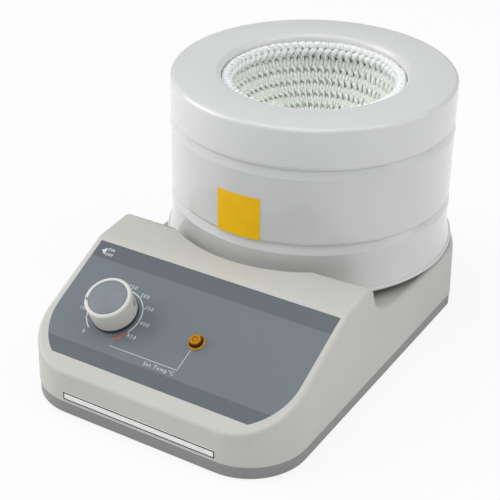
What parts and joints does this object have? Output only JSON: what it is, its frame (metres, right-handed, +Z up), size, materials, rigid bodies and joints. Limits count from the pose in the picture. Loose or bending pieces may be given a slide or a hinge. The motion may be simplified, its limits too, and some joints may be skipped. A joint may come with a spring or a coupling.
{
  "type": "heating mantle",
  "caption": "Bench heating mantle: a round drum with a knitted heating bowl for a round-bottom flask, on a wedge-shaped base with a sloping panel, dial knob, lamp and power switch.",
  "frame": {"origin": "on the table under the middle of the whole outline", "axes": "+X to the right of a user facing the panel, +Y from the control panel to the drum, +Z up"},
  "size_m": [0.2074, 0.3266, 0.1796],
  "materials": {
    "housing_plastic": "fine moulded grain",
    "tray_plastic": "fine moulded grain",
    "cover_enamel": "smooth satin enamel",
    "drum_enamel": "smooth satin enamel",
    "panel_film": "screen-printed film",
    "white_label": "label film",
    "yellow_label": "label film",
    "glass_yarn": "knitted glass yarn",
    "mineral_wool": "loose fibre",
    "resistance_wire": "oxidised wire",
    "steel_sheet": "plain sheet",
    "zinc_fastener": "bright zinc plate",
    "brass_part": "turned or stamped",
    "black_rubber": "moulded",
    "black_plastic": "moulded",
    "rocker_plastic": "moulded",
    "knob_shell": "moulded",
    "knob_cap_grey": "moulded",
    "amber_lens": "clear amber moulding",
    "circuit_board": "resist-coated laminate",
    "laminated_core": "varnished laminations",
    "relay_case": "moulded",
    "connector_plastic": "moulded",
    "sink_aluminium": "anodised",
    "terminal_ceramic": "unglazed",
    "lead_sleeve": "braided glass sleeve"
  },
  "bodies": {
    "mantle": {"barrel_shell": "drum_enamel", "base_housing": "housing_plastic", "base_screws": "zinc_fastener", "base_tray": "tray_plastic", "board_connectors": "connector_plastic", "board_screws": "zinc_fastener", "board_standoffs": "steel_sheet", "can_posts": "steel_sheet", "capacitor": "black_plastic", "clamp_ring": "steel_sheet", "control_board": "circuit_board", "control_panel": "panel_film", "deck_grommet": "black_rubber", "drum_bolts": "zinc_fastener", "drum_floor": "steel_sheet", "drum_label": "yellow_label", "drum_nuts": "zinc_fastener", "drum_skirt": "drum_enamel", "drum_spacers": "steel_sheet", "foot_front_left": "black_rubber", "foot_front_right": "black_rubber", "foot_rear_left": "black_rubber", "foot_rear_right": "black_rubber", "fuse_and_clips": "zinc_fastener", "heat_shield": "steel_sheet", "heat_sink": "sink_aluminium", "heater_coil": "resistance_wire", "heater_leads": "lead_sleeve", "heater_supply_leads": "lead_sleeve", "heating_bowl": "glass_yarn", "inlet_body": "black_plastic", "inlet_leads": "lead_sleeve", "inlet_nuts": "zinc_fastener", "inlet_pins": "brass_part", "inlet_screws": "zinc_fastener", "insulation": "mineral_wool", "insulation_can": "steel_sheet", "lamp_holder": "black_plastic", "lamp_lens": "amber_lens", "lamp_pins": "brass_part", "panel_leads": "lead_sleeve", "pot_nut": "zinc_fastener", "potentiometer": "black_plastic", "relay": "relay_case", "strip_label": "white_label", "switch_frame": "black_plastic", "switch_leads": "lead_sleeve", "switch_tabs": "brass_part", "temperature_probe": "steel_sheet", "terminal_block": "terminal_ceramic", "tie_nuts": "zinc_fastener", "tie_rods": "zinc_fastener", "top_cover": "cover_enamel", "transformer": "laminated_core"},
    "dial": {"knob_body": "knob_shell", "knob_cap": "knob_cap_grey", "set_screw": "zinc_fastener", "pot_shaft": "brass_part"},
    "power_rocker": {"rocker": "rocker_plastic"}
  },
  "joints": [
    {"name": "dial_knob", "type": "hinge", "parent": "mantle", "child": "dial", "pos_m": [-0.05, -0.11449, 0.05563], "axis": [0, 0.4226, -0.9063], "range_deg": [-32, 268]},
    {"name": "power_switch", "type": "hinge", "parent": "mantle", "child": "power_rocker", "pos_m": [-0.09798, -0.07525, 0.04796], "axis": [-0.0244, 0, -0.9997], "range_deg": [0, 16]}
  ]
}
